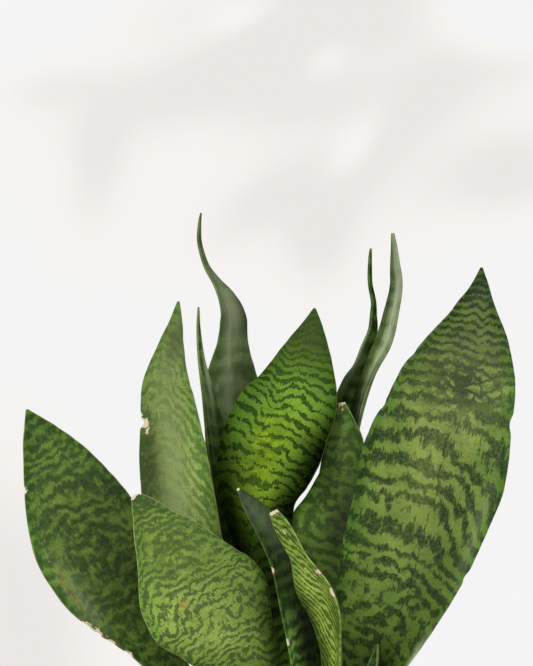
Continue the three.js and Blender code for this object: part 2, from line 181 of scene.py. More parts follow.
# What every leaf looks like, unless its own entry in LOOKS says otherwise. Lengths are in
# millimetres of blade, and colours are 8-bit sRGB.
PLAIN_LOOK = dict(
    light=(104, 128, 60),  # between the bands
    warm=None,  # the same, in the yellower parts
    dark=(52, 74, 34),  # the bands
    line=(36, 54, 26),  # the bands' crisp outlines
    # the colour of the waxy haze, which is partly a painted sheen and highlight
    bloom=(150, 160, 122),  # waxy haze
    period=((0, 10),),  # from one band to the next: (along, period)
    fill=0.5,  # share of the blade that the bands cover
    fill_change=0.45,  # how much that share changes from place to place
    soft=0.3,  # width of a band's blurred edge, as a share of the period
    outline=0,  # strength of the outlines
    contrast=1,  # strength of the bands
    # How far a band falls for each mm towards the two margins: (along, u=-1, u=+1)
    sweep=((0, 0.2, 0.2),),
    rib=0,  # how far the midrib is from the blade's middle
    vee=2,  # how far a band dips at the midrib
    vee_width=4,
    warp=4,  # slow wander of the bands
    wobble=2.2,  # their small waves
    ragged=1,  # feathering of their edges along the blade
    crumble=0.30,  # how far the bands break up into blotches
    comb=0.16,  # and into lengthwise feathers
    streaks=0.10,  # lengthwise streaks in the green
    speckle=0.12,  # small lighter and darker spots
    flecks=0.28,  # thin broken marks between the bands
    halo=0.18,  # darker green beside the bands
    mottle=0.3,  # lighter blotches in the bands
    margin_dark=0.35,  # deeper green towards the margins
    tip_dark=0.5,  # deeper green towards the tip
    back_grey=0.1,  # how much greyer the rounded back is
    midline=(0, 1, 0, 0, 0),  # a thin dark vein: start, end, across at each, strength
    seed=0,
    wave=0.5,  # slow waviness of the blade, across its face
    edge_wave=0.35,  # waviness of its margins
    dry_tip=0,  # length of the dried tip
    notch_dry=1,  # how dry the notches' edges are
    margin=(0.4, 0.35),  # width and strength of the pale line along the margins
    pale=(158, 168, 104),  # its colour
    shine=0.15,
    roughness=0.42,
    notches=(),  # (along, margin -1 or 1, depth, length)
    # Soft spots of each kind of MARK_KINDS: (along, across, length, width, strength)
    marks={},
)
# Painted shade (shadows between and under the leaves, and painted light where below 0), dried
# tissue, waxy haze with a painted sheen, brown stains, a net of rings in place of bands, yellower
# green, weaker bands, blotches in place of bands, and wider bands
MARK_KINDS = ("shade", "dry", "bloom", "stain", "net", "warm", "faint", "mottled", "full")

# Marks of shade are painted shadows (painted light below 0); haze marks are partly painted sheen
LOOKS = {
    "leaf_left_broad": dict(
        light=(98, 126, 52), warm=(108, 134, 56), dark=(46, 70, 32), line=(36, 56, 26), soft=0.42,
        outline=0.1, warp=7, wobble=4, ragged=1.8, crumble=0.5, speckle=0.14, comb=0.08, seed=11,
        tip_dark=0.2, wave=0.8, sweep=((0, 0.25, 0.15),),
        period=((0, 10), (120, 10), (180, 11), (230, 9), (276, 6)),
        notches=((234, -1, 0.9, 1.4), (150, -1, 0.7, 4), (141, -1, 1, 2.4), (132, -1, 0.8, 3),
            (121, -1, 1.1, 2.4)),
        marks=dict(
            shade=((130, 14, 55, 12, 0.9), (205, 28, 40, 9, 0.5), (170, 4, 30, 14, 0.25),
                (212, 6, 20, 20, 0.3), (192, -30, 24, 6, -0.5)),
            dry=((191, -27, 2.6, 0.9, 0.9), (144, -24, 1.6, 0.8, 0.8), (137, -21.5, 1.3, 0.8, 0.8),
                (128, -19, 1.3, 0.7, 0.8)),
            bloom=((160, -22, 26, 6, 0.3),),
            stain=((176, -26.5, 8, 1.8, 0.8), (164, -24.5, 6, 1.8, 0.6)),
            warm=((230, 0, 60, 20, 0.6),),
            mottled=((170, 0, 120, 60, 0.3),)),
    ),
    "leaf_front_left": dict(
        light=(124, 154, 58), warm=(152, 174, 84), dark=(52, 82, 38), line=(30, 52, 24), fill=0.31,
        soft=0.2, outline=0.7, halo=0.3, flecks=0.5, margin=(0.5, 0.6), pale=(176, 184, 124), rib=3,
        warp=5, wobble=3.4, ragged=1.2, crumble=0.5, speckle=0.18, seed=23, dry_tip=0.9, wave=0.6,
        sweep=((0, 0.7, 0.6), (150, 0.45, 0.6), (224, 0.3, 0.5)),
        period=((0, 6.2), (110, 6.2), (150, 7), (190, 5.8), (224, 4.5)),
        marks=dict(
            shade=((95, -26, 40, 7, 1.2), (80, 22, 24, 12, 0.5), (200, 0, 16, 20, -0.15),
                (135, 22, 34, 13, -0.2), (146, -19, 14, 8, 0.2)),
            stain=((154, 10.6, 4.5, 5, 0.6),),
            net=((185, -2, 22, 20, 0.5),),
            warm=((135, 4, 30, 16, 0.8),),
            faint=((128, 5, 14, 12, 0.3),),
            full=((216, 0, 14, 16, 0.35),)),
    ),
    "leaf_back_left": dict(
        light=(118, 140, 66), warm=(128, 146, 80), dark=(56, 84, 34), line=(48, 72, 34), fill=0.34,
        outline=0.15, contrast=0.9, warp=5, wobble=3, ragged=1.8, crumble=0.6, streaks=0.22,
        speckle=0.16, seed=31, tip_dark=0.4, wave=0.7, shine=0.08, bloom=(148, 158, 114),
        sweep=((0, 1.6, 0.3),), notches=((243, 1, 4.2, 2.4), (248, 1, 1.2, 1.6)),
        period=((0, 11), (200, 11), (260, 8), (316, 6)),
        marks=dict(
            shade=((208, 26, 30, 8, 0.8), (292, -4.5, 13, 5, 1.3), (212, -18, 34, 8, -0.45),
                (222, 14, 22, 7.5, 1.6), (140, 0, 30, 40, 0.8)),
            dry=((243, 17, 2.6, 3.2, 1.8), (238, 15.6, 3.4, 1.1, 1.1)),
            bloom=((205, -3, 70, 10, 0.5),),
            net=((275, 0, 24, 12, 0.35),),
            faint=((205, 0, 46, 13, 0.6),),
            full=((214, 24, 26, 9, 0.6), (205, -21, 42, 4, 0.4))),
    ),
    "leaf_rolled_young": dict(
        light=(100, 130, 68), dark=(48, 74, 32), line=(34, 54, 26), outline=0.1, contrast=0.8,
        seed=43, streaks=0.3, back_grey=0, shine=0, period=((0, 13),),
        marks=dict(
            shade=((165, 0, 46, 40, 1.05), (236, 0, 30, 20, -0.35)),
            bloom=((262, 2.5, 30, 1.8, 1.3), (252, -3, 34, 1, 0.8))),
    ),
    "leaf_tall_twisted": dict(
        light=(104, 118, 78), dark=(58, 78, 42), line=(54, 72, 42), fill=0.4, soft=0.4,
        contrast=0.7, warp=6, wobble=2.6, ragged=1.8, streaks=0.34, seed=57, tip_dark=0.1,
        back_grey=0, margin=(0.3, 0.15), shine=0.05, period=((0, 15),),
        marks=dict(
            shade=((268, 9, 16, 7, 0.9), (302, 4, 12, 8, 2.7), (225, 16, 25, 6, 0.6),
                (235, -16, 40, 6, 0.6), (180, 0, 40, 30, 0.7)),
            bloom=((225, -3, 60, 3, 0.7), (312, 0, 22, 6, 0.7))),
    ),
    "leaf_centre": dict(
        light=(98, 132, 47), warm=(124, 154, 36), dark=(42, 68, 26), line=(18, 38, 12), fill=0.24,
        soft=0.12, outline=1, halo=0.3, speckle=0.14, flecks=0.25, rib=8.5, vee=5.5, vee_width=6.5,
        warp=3, wobble=2.4, ragged=0.8, crumble=0.4, seed=61, tip_dark=0.45, margin_dark=0.25,
        back_grey=0, wave=0.8, shine=0, sweep=((0, 0.3, 0.3), (262, 0.15, 0.15), (315, 0, 0)),
        period=((0, 8), (190, 8), (230, 7), (262, 5.5), (315, 4)),
        marks=dict(
            shade=((264, 3, 18, 24, -0.2), (302, 0, 26, 60, 1.15), (228, -36, 34, 12, 4.6),
                (186, -24, 19, 13, 3), (142, 0, 32, 60, 2.4), (176, 21, 26, 17, 1.9),
                (200, -9, 12, 9, -0.6), (205, 36, 26, 9, 0.8), (262, 26, 30, 10, 0.5)),
            bloom=((304, 0, 24, 40, 0.08),),
            net=((225, 2, 22, 12, 0.4),),
            warm=((218, 0, 34, 16, 1),),
            faint=((300, 0, 24, 60, 0.7), (176, 18, 24, 16, 0.7)),
            full=((290, 0, 26, 40, 0.14),)),
    ),
    "leaf_mid_right": dict(
        light=(108, 138, 58), dark=(60, 88, 38), line=(46, 70, 32), fill=0.42, soft=0.24,
        outline=0.2, vee=3, rib=-3, seed=71, dry_tip=1.6, crumble=0.5, speckle=0.16,
        period=((0, 9),), sweep=((0, 0.3, 0.35),), notches=((249, -1, 1.2, 1.4),),
        marks=dict(
            shade=((190, 20, 40, 6, 0.8), (184, 11, 34, 7.5, 1.9), (180, 3, 28, 9, 0.8),
                (120, 0, 24, 30, 0.6), (170, -15, 22, 10, -1.35), (243, 0, 10, 12, -0.3)),
            dry=((248, 0.5, 2.4, 0.8, 0.8),),
            mottled=((180, 0, 60, 30, 0.3),)),
    ),
    "leaf_back_slender": dict(
        light=(72, 96, 46), dark=(34, 52, 20), line=(24, 38, 14), streaks=0.3, seed=83,
        tip_dark=-0.6, back_grey=0, shine=0, margin=(0.3, 0.15), bloom=(128, 142, 104),
        period=((0, 12),),
        marks=dict(
            shade=((255, 3, 30, 10, 0.2), (190, 0, 50, 30, 0.6)),
            bloom=((272, -8, 26, 4.5, 1.2),)),
    ),
    "leaf_back_narrow": dict(
        light=(124, 138, 94), dark=(70, 90, 44), line=(52, 70, 34), fill=0.3, contrast=0.6,
        streaks=0.5, seed=97, back_grey=0, bloom=(166, 174, 146), margin=(0.3, 0.2),
        period=((0, 12),),
        marks=dict(
            shade=((310, -8, 60, 3.5, 1), (262, 6, 24, 4, 0.7), (330, 0.5, 24, 1, 0.5),
                (288, 2, 20, 6, -0.5)),
            dry=((302, 3, 3, 0.5, 0.8), (258, 2, 5, 0.5, 0.8)),
            bloom=((322, 5, 44, 4, 0.9), (290, 1, 60, 1.6, 0.9))),
    ),
    "leaf_right_broad": dict(
        light=(98, 126, 52), warm=(124, 140, 68), dark=(38, 56, 30), line=(26, 42, 20), fill=0.38,
        soft=0.22, outline=0.45, mottle=0.4, margin=(0.3, 0.08), notch_dry=0.2, rib=5, vee_width=3,
        warp=5, wobble=3, ragged=1.8, crumble=0.34, flecks=0.3, seed=105, margin_dark=0.4,
        tip_dark=0.3, wave=0.9, shine=0.07, midline=(120, 245, 8, 2, 0.7),
        period=((0, 14), (118, 14), (145, 10), (170, 11), (195, 14), (245, 14), (262, 9),
            (285, 5.5), (342, 4.2)),
        sweep=((0, 0.1, 0.5), (150, 0.1, 0.5), (200, 0.08, 0.8), (240, 0.12, 0.5), (268, 0.1, 0.1),
            (342, 0, 0)),
        notches=((255, 1, 1.6, 4), (166, 1, 1.2, 3), (247, -1, 1, 3), (283, -1, 0.9, 3)),
        marks=dict(
            shade=((332, 0, 12, 20, 0.35), (200, -44, 40, 5, 0.3), (88, -4, 20, 44, 0.5),
                (119, -14, 18, 16, -0.3), (150, 30, 36, 9, 0.3), (300, 0, 34, 40, 0.6),
                (182, 14, 26, 12, 0.4), (130, 18, 26, 12, 0.5), (268, 26, 18, 14, -0.35)),
            bloom=((190, 38, 30, 4, 0.3), (112, 34, 14, 3, 1.1)),
            net=((270, 6, 20, 30, 0.85),),
            warm=((222, -2, 60, 26, 1.1), (290, 0, 45, 40, 0.5)),
            faint=((212, -6, 26, 12, 0.3),),
            mottled=((124, -4, 36, 60, 0.8),),
            full=((330, 0, 14, 20, 0.2), (300, 0, 14, 40, -0.06), (205, 30, 30, 14, 0.08))),
    ),
    "leaf_front_dark": dict(
        light=(66, 88, 42), warm=(92, 118, 56), dark=(32, 48, 22), line=(22, 34, 16), seed=113,
        dry_tip=0.8, shine=0.1, bloom=(94, 112, 80), margin=(0.2, 0.3), pale=(96, 112, 74),
        period=((0, 9),), notches=((156, -1, 0.8, 1.8), (112, -1, 0.8, 1.8)),
        marks=dict(
            shade=((150, 6, 34, 9, 0.8), (140, -6, 22, 9, 0.4), (120, 10.5, 44, 5, 2.6),
                (114, -8, 32, 8, -1.8)),
            dry=((156, -12.6, 1.1, 0.8, 0.9), (112, -13.5, 1.1, 0.8, 0.9)),
            bloom=((190, -1, 18, 8, 0.6),),
            warm=((96, 0, 36, 12, 1),)),
    ),
    "leaf_front_bright": dict(
        light=(152, 174, 74), dark=(62, 88, 26), line=(36, 56, 14), fill=0.4, soft=0.14,
        outline=0.8, vee=0, warp=2, wobble=1.6, ragged=1.2, seed=127, dry_tip=2.6, tip_dark=0.3,
        speckle=0.16, period=((0, 6.5),), sweep=((0, -2.4, 2.4),),
        notches=((157, 1, 1.1, 1.8), (144, 1, 1.1, 1.8)),
        marks=dict(
            shade=((90, 9, 34, 4, 0.4), (132, 11, 14, 6, 0.6), (118, -14, 34, 4, 1.6),
                (98, -8, 12, 4, 1.2)),
            dry=((157, 8.4, 1.8, 1.2, 0.9), (144, 13.4, 1.8, 1.2, 0.9), (186, -1, 6, 0.5, 0.7))),
    ),
    "shoot_tip": dict(
        light=(86, 112, 58), dark=(46, 74, 30), line=(36, 58, 24), seed=131, fill=0.42, soft=0.1,
        outline=0.5, period=((0, 8),),
    ),
}

# Thickness along a leaf's middle at its foot and its tip, and at its margins
THICK_FOOT = 4.4
THICK_TIP = 2.0
THICK_MARGIN = 1.0
LEAST_WIDTH = 1.0
# How far the rounded margin reaches past the flat of the blade
MARGIN_ROUND = 0.35
# Height of the fine lengthwise ribs in a blade's faces
RIB_HEIGHT = 0.07
# How far tip_dark reaches from the tip
TIP_REACH = 45
# How softly, in square mm, the bands start to fall beside the midrib
FALL_START = 6
# A mesh's steps along a blade and across it, and the samples that its length is measured with
RING_STEP = 1.8
STRIP_WIDTH = 3.0
FEWEST_STRIPS, MOST_STRIPS = 14, 30
SPINE_SAMPLES = 1500
TANGENT_STEP = 1e-4


def through(rows, t):
    """The rows' numbers at each t, from 0 to 1, on a smooth curve through every row."""
    ends = np.vstack([2 * rows[0] - rows[1], rows, 2 * rows[-1] - rows[-2]])
    place = np.clip(t, 0, 1) * (len(rows) - 1)
    i = np.minimum(place.astype(int), len(rows) - 2)
    w = (place - i)[:, None]
    before, start, end, after = (ends[i + step] for step in range(4))
    cubic = 3 * (start - end) + after - before
    square = 2 * before - 5 * start + 4 * end - after
    return start + w * (end - before + w * (square + w * cubic)) / 2


def unit(vectors):
    return vectors / np.linalg.norm(vectors, axis=-1, keepdims=True)


def column(values):
    """One number for each ring of a blade, set against the points round the rings."""
    return values[:, None]


def ripple(x, y, seed, waves=7):
    """Smooth, irregular waves over x and y, between about -1 and 1."""
    draw = np.random.RandomState(int(seed * 13) % 99991)
    total = 0.0
    for _ in range(waves):
        turn = draw.uniform(0, math.tau)
        size, phase = draw.uniform(0.6, 1.7), draw.uniform(0, math.tau)
        total = total + np.sin(size * (x * math.cos(turn) + y * math.sin(turn)) + phase)
    return total / math.sqrt(waves)


def columns_at(rows, along):
    """The later columns of a table whose first column is a place along the blade, at each place."""
    rows = np.array(rows, float)
    return [np.interp(along, rows[:, 0], rows[:, i]) for i in range(1, rows.shape[1])]


def blade_rings(name):
    """A leaf's rings, in mm from its foot to its tip, with their middles, directions and sizes."""
    rows = np.array(LEAVES[name], float)
    fine = np.linspace(0, 1, SPINE_SAMPLES)
    spine = through(rows[:, :3], fine)
    run = np.concatenate([[0], np.cumsum(np.linalg.norm(np.diff(spine, axis=0), axis=1))])
    along = np.linspace(0, run[-1], int(run[-1] / RING_STEP) + 2)
    t = np.interp(along, run, fine)
    values = through(rows, t)
    ahead, behind = through(rows[:, :3], t + TANGENT_STEP), through(rows[:, :3], t - TANGENT_STEP)
    tangent = unit(ahead - behind)
    turn = np.radians(values[:, 4])
    hollow = np.stack([np.sin(turn), -np.cos(turn), np.zeros(len(along))], axis=1)
    hollow = unit(hollow - tangent * np.sum(hollow * tangent, axis=1, keepdims=True))
    half = np.maximum(values[:, 3], LEAST_WIDTH) / 2
    bend = np.radians(values[:, 5])
    thick = np.minimum(THICK_FOOT + (THICK_TIP - THICK_FOOT) * t, half + THICK_MARGIN / 2)
    return SimpleNamespace(
        along=along, centre=values[:, :3], hollow=hollow, across=np.cross(tangent, hollow),
        half=half, bend=bend, radius=2 * half / bend, thick=thick)


def margin_reach(look, rings):
    """How much of the half width each margin keeps, past its waves and nicks."""
    along, seed = rings.along, look["seed"]
    broad = np.clip((rings.half - 2) / 6, 0, 1)
    reach = {}
    for margin in (-1, 1):
        wavy = ripple(along / 7, margin * 3.0 + 0 * along, seed + margin)
        fine_wave = ripple(along / 2.2, margin * 5.0 + 0 * along, seed + 5 * margin)
        cut = broad * look["edge_wave"] * (0.3 + 0.5 * wavy + 0.3 * fine_wave)
        for at, side, depth, size in look["notches"]:
            if side == margin:
                cut = cut + depth * np.exp(-(np.abs(along - at) / size) ** 3)
        reach[margin] = 1 - cut / rings.half
    return reach


def blade_layout(rings, reach):
    """Where a ring's points lie, round the back, a margin, the hollow face and the other margin: u
    is -1 to 1 from margin to margin, and side is -1 on the back, 1 on the face and 0 between."""
    strips = int(min(max(2 * rings.half.max() / STRIP_WIDTH, FEWEST_STRIPS), MOST_STRIPS))
    inset = MARGIN_ROUND / rings.half
    low, high = inset - reach[-1], reach[1] - inset
    flat = column(low) + column(high - low) * np.linspace(0, 1, strips + 1)
    u = np.concatenate([flat[:, ::-1], -column(reach[-1]), flat, column(reach[1])], axis=1)
    side = np.concatenate([-np.ones(strips + 1), [0], np.ones(strips + 1), [0]])[None]
    return u, side, strips


def blade_points(look, rings, u, side):
    """A blade's vertices in mm: its fold, its thickness, and slow waves and fine ribs."""
    across, along, thick = u * column(rings.half), column(rings.along), column(rings.thick)
    depth = THICK_MARGIN + (thick - THICK_MARGIN) * (1 - np.clip(u, -1, 1) ** 2)
    depth = np.minimum(depth, thick)
    waves = look["wave"] * ripple(across / 22, along / 32, look["seed"])
    waves = waves + RIB_HEIGHT * ripple(across / 1.5, along / 60, look["seed"] + 3)
    waves = waves * column(np.clip((rings.half - 3) / 12, 0, 1)) * np.clip(along / 60, 0, 1)
    angle = u * column(rings.bend) / 2
    reach_out = (column(rings.radius) - side * depth / 2 + waves)[..., None]
    sine, cosine = np.sin(angle)[..., None], np.cos(angle)[..., None]
    inward = column(rings.radius)[..., None] - cosine * reach_out
    return (rings.centre[:, None] + rings.across[:, None] * sine * reach_out
            + rings.hollow[:, None] * inward)


def blade_faces(ring_count, strips):
    """A blade's faces: from ring to ring, and over its foot and its tip."""
    ring_size = 2 * strips + 4
    first = np.arange(ring_count - 1)[:, None] * ring_size
    here = first + np.arange(ring_size)
    following = first + (np.arange(ring_size) + 1) % ring_size
    quads = np.stack([here, following, following + ring_size, here + ring_size], axis=-1)
    faces = [tuple(map(int, quad)) for quad in quads.reshape(-1, 4)]
    # A quad joins each strip of the back to the face's, and a triangle closes each margin
    last, end = (ring_count - 1) * ring_size, 2 * strips + 2
    cap = [(i, end - i, end - i - 1, i + 1) for i in range(strips)]
    cap += [(strips, strips + 2, strips + 1), (0, end + 1, end)]
    tip = [tuple(last + i for i in (face[0], *reversed(face[1:]))) for face in cap]
    return faces + cap + tip


def band_phase(look, rings, across):
    """How many bands lie below each point. They fall away beside the midrib and dip at it."""
    from_rib = across - look["rib"]
    left_fall, right_fall = columns_at(look["sweep"], rings.along)
    fall = np.where(from_rib < 0, column(left_fall), column(right_fall))
    fall = fall * (np.sqrt(from_rib ** 2 + FALL_START) - math.sqrt(FALL_START))
    fall = fall + look["vee"] * np.exp(-(from_rib / look["vee_width"]) ** 2)
    period, = columns_at(look["period"], rings.along)
    steps = np.diff(rings.along) * (1 / period[1:] + 1 / period[:-1]) / 2
    bands_below = np.concatenate([[0], np.cumsum(steps)])
    return column(bands_below) + fall / column(period)


def blade_numbers(look, rings, u, side, reach):
    """The rows of three numbers for each vertex that a leaf's material reads."""
    across, along = u * column(rings.half), column(rings.along)
    from_tip = rings.along[-1] - along
    blank = np.zeros_like(across)
    # Distance to the nearer margin
    edge = np.minimum(column(reach[1]) - u, u + column(reach[-1])) * column(rings.half)
    edge = np.clip(edge, 0, None)
    marks = {kind: blank.copy() for kind in MARK_KINDS}
    # Soft spots: shade ones paint shadow, or light below 0; the waxy haze ones partly paint sheen
    for kind, blobs in look["marks"].items():
        for at, over, size, breadth, strength in blobs:
            blob = ((along - at) / size) ** 2 + ((across - over) / breadth) ** 2
            marks[kind] += strength * np.exp(-blob)
    for at, margin, _, size in look["notches"]:
        near = np.exp(-((along - at) / (size * 1.3)) ** 2 - (edge / 1.1) ** 2)
        marks["dry"] += look["notch_dry"] * np.where(u * margin > 0, near, 0)
    if look["dry_tip"]:
        marks["dry"] += 1.2 * np.clip(1 - from_tip / look["dry_tip"], 0, 1)
    marks["shade"] += look["tip_dark"] * np.clip(1 - from_tip / TIP_REACH, 0, 1)
    table = {
        "blade": (across, along + blank, side + blank),
        "form": (edge, band_phase(look, rings, across), marks["shade"]),
        "wear_and_sheen": (marks["dry"], marks["bloom"], marks["stain"]),
        "pattern": (marks["net"], marks["warm"], marks["faint"]),
        "change": (marks["mottled"], marks["full"], blank),
    }
    return {key: np.stack(parts, axis=-1).reshape(-1, 3) for key, parts in table.items()}


def mesh_object(name, points, faces):
    """A smooth mesh object in the scene, from its points in metres and its faces."""
    mesh = bpy.data.meshes.new(name)
    mesh.from_pydata([tuple(point) for point in points], [], faces)
    mesh.polygons.foreach_set("use_smooth", [True] * len(mesh.polygons))
    mesh.update()
    piece = bpy.data.objects.new(name, mesh)
    bpy.context.scene.collection.objects.link(piece)
    return piece


# ---- Materials ----

# How far a noise goes from a half
NOISE_REACH = 0.22
# The share of the light that a shade of 1 leaves
SHADE = 0.42


def rgb(colour):
    """An 8-bit sRGB colour as the linear one that a shader takes."""
    linear = []
    for value in colour:
        c = value / 255
        linear.append(c / 12.92 if c <= 0.04045 else ((c + 0.055) / 1.055) ** 2.4)
    return (*linear, 1.0)


class Value:
    """What a node gives. Plain arithmetic with it adds new nodes."""

    def __init__(self, graph, socket):
        self.graph, self.socket = graph, socket

    def __add__(self, other):
        return self.graph.math("ADD", self, other)

    def __sub__(self, other):
        return self.graph.math("SUBTRACT", self, other)

    def __rsub__(self, other):
        return self.graph.math("SUBTRACT", other, self)

    def __mul__(self, other):
        return self.graph.math("MULTIPLY", self, other)

    def __truediv__(self, number):
        return self * (1 / number)

    __radd__, __rmul__ = __add__, __mul__


class Graph:
    """A node tree, built by short calls. What they take is a number, a colour or a Value."""

    def __init__(self, tree):
        self.tree = tree
        tree.nodes.clear()

    def node(self, kind, *values, named=(), **settings):
        """A new node with these settings, these values in its first inputs, and named ones."""
        made = self.tree.nodes.new(kind)
        for name, value in settings.items():
            setattr(made, name, value)
        for place, value in [*enumerate(values), *named]:
            if isinstance(value, Value):
                self.tree.links.new(value.socket, made.inputs[place])
            else:
                made.inputs[place].default_value = value
        return made

    def value(self, kind, *values, output=0, **rest):
        return Value(self, self.node(kind, *values, **rest).outputs[output])

    def math(self, operation, *values, clamp=False):
        return self.value("ShaderNodeMath", *values, operation=operation, use_clamp=clamp)

    def swing(self, noise, size):
        """A noise as a number from -size to size."""
        return self.math("MULTIPLY_ADD", noise, size / NOISE_REACH, -0.5 * size / NOISE_REACH)

    def ramp(self, value, start, end, low=0.0, high=1.0):
        """Smooth change from low to high as the value goes from start to end."""
        limits = (start, end, low, high)
        return self.value("ShaderNodeMapRange", value, *limits, interpolation_type="SMOOTHSTEP")

    def vector(self, x, y, z):
        return self.value("ShaderNodeCombineXYZ", x, y, z)

    def split(self, vector):
        made = self.node("ShaderNodeSeparateXYZ", vector)
        return [Value(self, socket) for socket in made.outputs]

    def object_place(self):
        return self.value("ShaderNodeTexCoord", output="Object")

    def noise(self, vector, scale=1.0, detail=2.0, roughness=0.5):
        named = (("Scale", scale), ("Detail", detail), ("Roughness", roughness))
        return self.value("ShaderNodeTexNoise", vector, named=named)

    def cells(self, vector, scale, feature="F1"):
        return self.value("ShaderNodeTexVoronoi", vector, named=[("Scale", scale)],
                          output="Distance", feature=feature)

    def blend(self, factor, first, second, mode="MIX"):
        return self.value("ShaderNodeMix", factor, named=((6, first), (7, second)), output=2,
                          data_type="RGBA", blend_type=mode)

    def numbers(self, name):
        """The three numbers that a mesh holds under this name at each vertex."""
        return self.split(self.value("ShaderNodeAttribute", output="Vector", attribute_name=name))

    def bump(self, height, distance, strength):
        named = (("Strength", strength), ("Distance", distance), ("Height", height))
        return self.value("ShaderNodeBump", named=named)

    def surface(self, colour, roughness, normal, shine=0.5, coat=0.0, coat_roughness=0.3):
        named = (("Base Color", colour), ("Roughness", roughness), ("Normal", normal))
        shader = self.node("ShaderNodeBsdfPrincipled", named=named)
        shader.inputs["Specular IOR Level"].default_value = shine
        shader.inputs["Coat Weight"].default_value = coat
        shader.inputs["Coat Roughness"].default_value = coat_roughness
        self.node("ShaderNodeOutputMaterial", Value(self, shader.outputs[0]))

    def soft_spot(self, x, y, middle_x, middle_y, length, breadth, turn, strength):
        """A soft spot of this length and breadth, turned by these degrees."""
        over, rise = x - middle_x, y - middle_y
        cosine, sine = math.cos(math.radians(turn)), math.sin(math.radians(turn))
        on_length = over * (cosine / length) + rise * (sine / length)
        on_width = rise * (cosine / breadth) - over * (sine / breadth)
        away = on_length * on_length + on_width * on_width
        return self.math("EXPONENT", away * -1) * strength


def new_material(name, graph=Graph, *extra):
    """A new material and its graph, of the class graph."""
    material = bpy.data.materials.new(name)
    material.use_nodes = True
    return material, graph(material.node_tree, *extra)


def dress(piece, material):
    piece.data.materials.clear()
    piece.data.materials.append(material)


# Colours that every leaf shares
FOOT_PALE = (176, 178, 122)
FOOT_BLUSH = (150, 96, 70)
STAIN = (158, 126, 62)
DRY_BORDER = (108, 86, 52)
DRY = (206, 198, 166)
# How strongly the dark rim and the painted shade take the red, the green and the blue: both leave
# more of the green than of the rest
RIM_POWERS = (1.3, 0.7, 1.7)
SHADE_POWERS = (1.0, 0.97, 1.08)


class LeafGraph(Graph):
    """A leaf's node tree, with the numbers that the leaf's mesh holds at each vertex."""

    def __init__(self, tree, look):
        super().__init__(tree)
        self.look = look
        self.mean_period = sum(row[1] for row in look["period"]) / len(look["period"])
        self.across, self.along, self.side = self.numbers("blade")
        self.edge, self.phase, self.shade = self.numbers("form")
        self.dry, self.bloom, self.stain = self.numbers("wear_and_sheen")
        self.net, self.warm, self.faint = self.numbers("pattern")
        self.mottled, self.full, _ = self.numbers("change")
        self.place = self.vector(self.across, self.along, look["seed"])

    def patches(self, across_size, along_size, offset, detail=2.0, roughness=0.5):
        """Noise whose patches are about this large across and along the blade, in mm."""
        seed = self.look["seed"] + offset
        where = self.vector(self.across / across_size, self.along / along_size, seed)
        return self.noise(where, 1.0, detail, roughness)

    def clouds(self, size, detail=2.0):
        """Noise whose patches are about this large both ways, in mm."""
        return self.noise(self.place, 1 / size, detail)

    def combed(self):
        """Noise that is combed along the blade."""
        return self.patches(0.85, 8, 7, 2.0, 0.6)

    def rolling(self, detail):
        """Noise that follows the size of the bands."""
        return self.patches(7, self.mean_period / 0.45, 21, detail)

    def paint(self, colour, *layers):
        """The colour under layers, each a strength and an 8-bit colour, laid on one by one."""
        for strength, layer in layers:
            colour = self.blend(strength, colour, rgb(layer))
        return colour


def beyond_bands(g, look, small):
    """How far each point is outside the bands: below 0 in a band, and above 0 between them."""
    # The bands' wandering, small waves and feathered edges, in mm along the blade
    shift = g.swing(g.clouds(26, 1.0), look["warp"]) + small + g.swing(g.combed(), look["ragged"])
    saw = g.math("PINGPONG", g.phase + shift / g.mean_period, 0.5) * 2
    spots = g.swing(g.patches(8, 6, 41, 3.0), 0.6) + 0.5
    mottled = g.math("MINIMUM", g.mottled, 1.0)
    saw = saw * (1 - mottled) + spots * mottled
    blotches = g.swing(g.patches(5, g.mean_period / 2.2, 27, 3.0), look["crumble"])
    plumes = g.swing(g.patches(1.1, 6.5, 17, 2.0, 0.6), look["comb"])
    patchy = g.swing(g.patches(15, 11, 3, 1.0), look["fill_change"] * 0.5)
    return saw + blotches + plumes - (patchy + look["fill"] + g.full)


def net_of_rings(g, look):
    """Dark rings, where the bands break up into a net."""
    across = g.across / 9.5 + g.swing(g.combed(), 0.10) + g.swing(g.clouds(5), 0.35)
    along = g.along / 6 + g.swing(g.rolling(2.0), 0.3)
    rings = g.cells(g.vector(across, along, look["seed"]), 1.0, "DISTANCE_TO_EDGE")
    return g.ramp(rings, 0.07, 0.22, 1.0, 0.0) * g.net


def dark_vein(g, look):
    """A thin, broken vein along part of the blade."""
    start, end, across_start, across_end, strength = look["midline"]
    middle = g.ramp(g.along, start, end, across_start, across_end)
    off = g.across - middle + g.swing(g.clouds(9), 1.4)
    vein = g.ramp(g.math("ABSOLUTE", off), 0.25, 0.75, 1.0, 0.0)
    vein = vein * g.ramp(g.along, start - 6, start + 6) * g.ramp(g.along, end - 6, end + 6, 1, 0)
    broken = g.noise(g.vector(0.0, g.along / 6, look["seed"] + 13))
    return vein * g.ramp(broken, 0.4, 0.52) * strength


